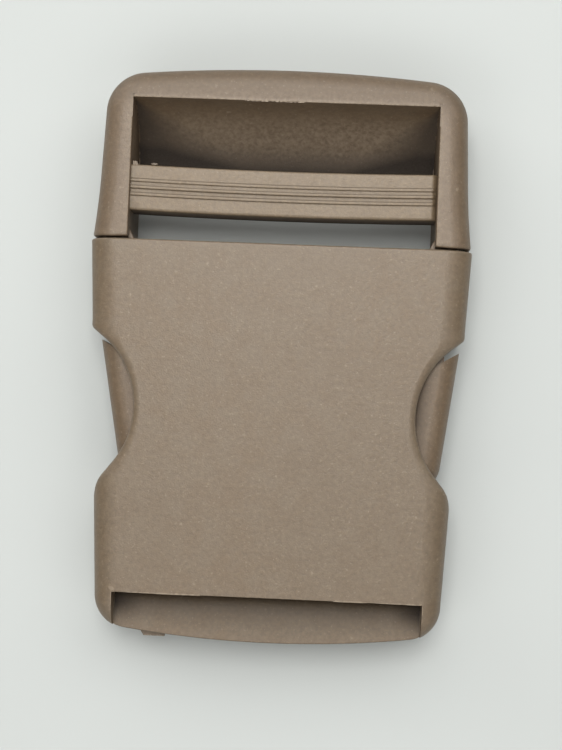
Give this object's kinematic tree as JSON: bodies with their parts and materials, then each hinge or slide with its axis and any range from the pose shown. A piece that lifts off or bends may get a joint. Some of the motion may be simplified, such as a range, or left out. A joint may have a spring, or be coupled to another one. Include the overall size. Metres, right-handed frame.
{
  "type": "side release buckle",
  "caption": "Fastened side release buckle for flat webbing, with a ribbed grip bar at one end, a webbing bar at the other and finger scallops at the sides.",
  "frame": {"origin": "under the middle of the buckle, on the surface that its back face lies on", "axes": "+X across the webbing, +Y along the webbing from the socket half to the plug half, +Z out of the front face"},
  "size_m": [0.0644, 0.097, 0.014],
  "materials": {
    "socket_plastic": "fine matte grain",
    "plug_plastic": "fine matte grain"
  },
  "bodies": {
    "root": {"socket_half": "socket_plastic", "plug_half": "plug_plastic"}
  },
  "joints": []
}
